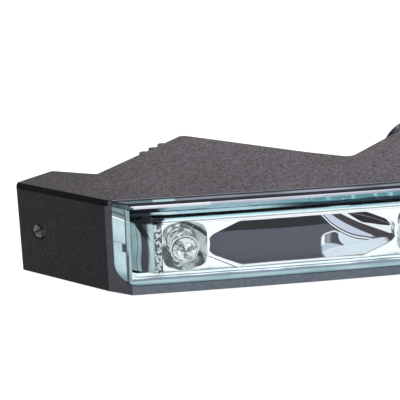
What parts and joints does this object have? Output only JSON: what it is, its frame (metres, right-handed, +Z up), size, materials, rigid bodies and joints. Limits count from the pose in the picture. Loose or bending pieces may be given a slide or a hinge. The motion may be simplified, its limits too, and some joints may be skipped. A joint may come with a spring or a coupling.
{
  "type": "daytime running light",
  "caption": "Slim daytime running light: dark zigzag heat-sink housing, clear front cover, bright reflector with lamp pockets and long mirrors.",
  "frame": {"origin": "middle of the base, at half of the overall length and depth", "axes": "+X along the length, to the right seen from the front; the lit front faces -Y; +Z up"},
  "size_m": [0.2468, 0.067, 0.024],
  "materials": {
    "housing_black": "fine-grained black coat on milled aluminium",
    "clear_cover": "clear polycarbonate",
    "seal_teal": "soft pale teal sealing compound",
    "bright_mirror": "bright metal film on a moulding",
    "board_white": "white solder mask on aluminium",
    "pad_grey": "soft grey thermal pad",
    "screw_steel": "plain steel",
    "chip_pale": "pale phosphor on ceramic",
    "clear_dome": "clear moulded optic",
    "board_green": "green solder mask",
    "ferrite": "dull ferrite",
    "can_metal": "drawn can",
    "chip_black": "moulded black",
    "block_green": "moulded green",
    "gland_black": "glossy black",
    "gland_rubber": "black rubber"
  },
  "bodies": {
    "root": {"housing": "housing_black", "lens": "clear_cover", "lens_seal": "seal_teal", "reflector": "bright_mirror", "light_board": "board_white", "thermal_pad": "pad_grey", "board_screws": "screw_steel", "driver_board": "board_green", "driver_screws": "screw_steel", "inductor": "ferrite", "capacitor": "can_metal", "driver_chip": "chip_black", "terminal_block": "block_green", "link_header": "chip_black", "gland_body": "gland_black", "gland_washer": "gland_rubber", "gland_seal": "gland_rubber", "gland_nut": "gland_black", "light_chip_1": "chip_pale", "dome_1": "clear_dome", "light_chip_2": "chip_pale", "dome_2": "clear_dome", "light_chip_3": "chip_pale", "dome_3": "clear_dome", "light_chip_4": "chip_pale", "dome_4": "clear_dome"}
  },
  "joints": []
}
